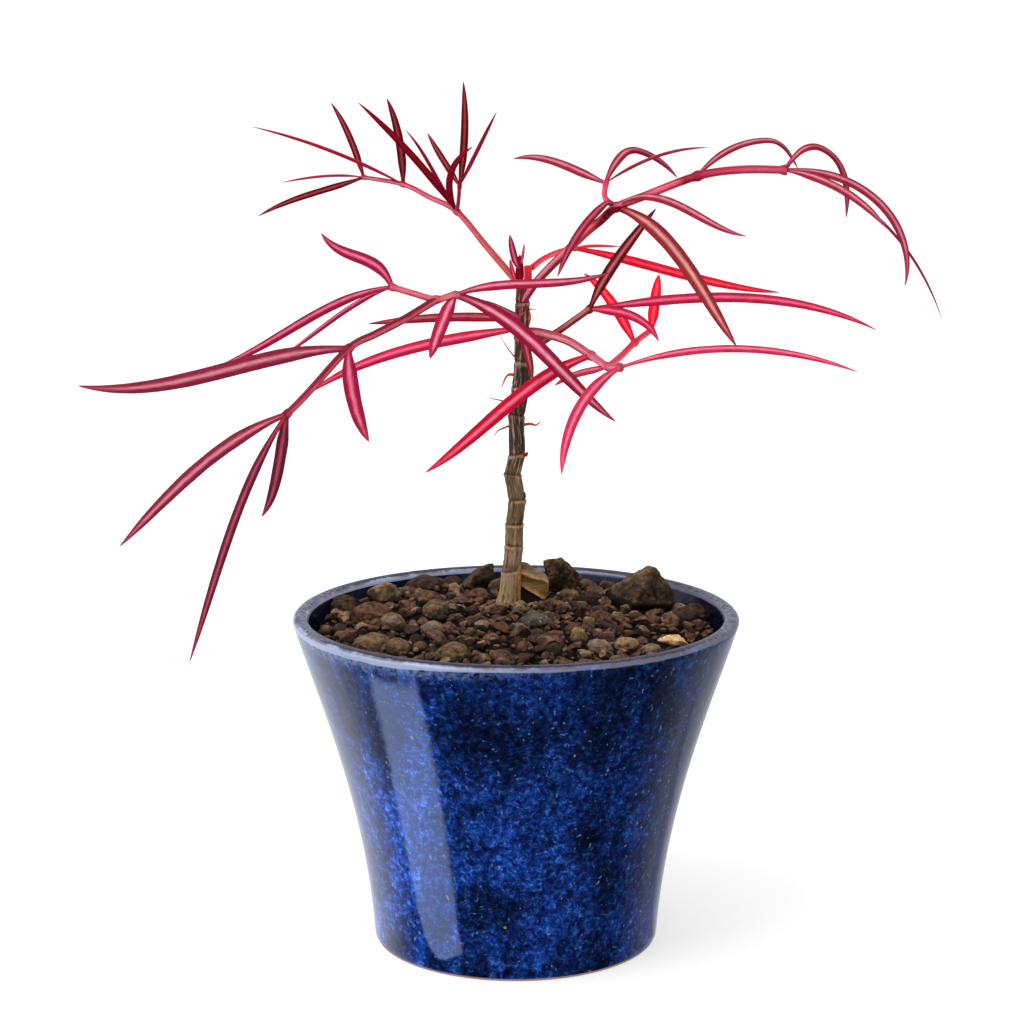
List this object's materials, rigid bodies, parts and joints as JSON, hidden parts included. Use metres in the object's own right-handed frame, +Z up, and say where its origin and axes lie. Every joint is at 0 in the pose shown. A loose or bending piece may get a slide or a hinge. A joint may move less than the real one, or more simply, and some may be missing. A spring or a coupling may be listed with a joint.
{
  "type": "potted cyphostemma",
  "caption": "Young succulent vine with a thin jointed stem and long narrow crimson leaflets in open sprays, planted in gravel in a round flared pot with a blue glaze.",
  "frame": {"origin": "centre of the pot's flat underside, on which it stands", "axes": "+Z up; the front of the plant faces -Y, and +X is to the right seen from the front"},
  "size_m": [0.1991, 0.1501, 0.2134],
  "materials": {
    "glaze": "deep cobalt glaze, mottled and glossy",
    "soil": "dry volcanic gravel",
    "stone": "rough, pitted",
    "bark": "dull bark",
    "husk": "dry, papery",
    "stalk": "satin",
    "tip": "satin",
    "leaflet": "waxy satin"
  },
  "bodies": {
    "root": {"pot": "glaze", "soil": "soil", "rock_right": "stone", "rock_back": "stone", "rock_back_left": "stone", "stone_left": "stone", "stone_slate": "stone", "stone_foot": "stone", "stone_cream": "stone", "trunk": "bark", "old_shoot_stub": "husk", "growing_tip": "tip", "stalk_top_left": "stalk", "stalk_top_left_middle": "stalk", "stalk_top_left_outer": "stalk", "stalk_arching": "stalk", "stalk_arching_middle": "stalk", "stalk_arching_outer": "stalk", "stalk_left": "stalk", "stalk_left_outer": "stalk", "stalk_drooping": "stalk", "stalk_drooping_outer": "stalk", "stalk_right": "stalk", "stalk_lower_right": "stalk", "stalk_red_twig": "stalk", "stalk_back_post": "stalk", "stalk_back": "stalk", "spray_top_left_inner": "leaflet", "spray_top_left_middle": "leaflet", "spray_top_left_tip": "leaflet", "spray_arching_inner": "leaflet", "spray_arching_middle": "leaflet", "spray_arching_tip": "leaflet", "spray_left_near": "leaflet", "spray_left_tip": "leaflet", "spray_drooping_middle": "leaflet", "spray_drooping_tip": "leaflet", "spray_right": "leaflet", "spray_lower_right": "leaflet", "spray_red_twig": "leaflet", "spray_back": "leaflet", "leaflet_behind_upper": "leaflet", "leaflet_behind_lower": "leaflet", "bract_front": "leaflet"}
  },
  "joints": []
}
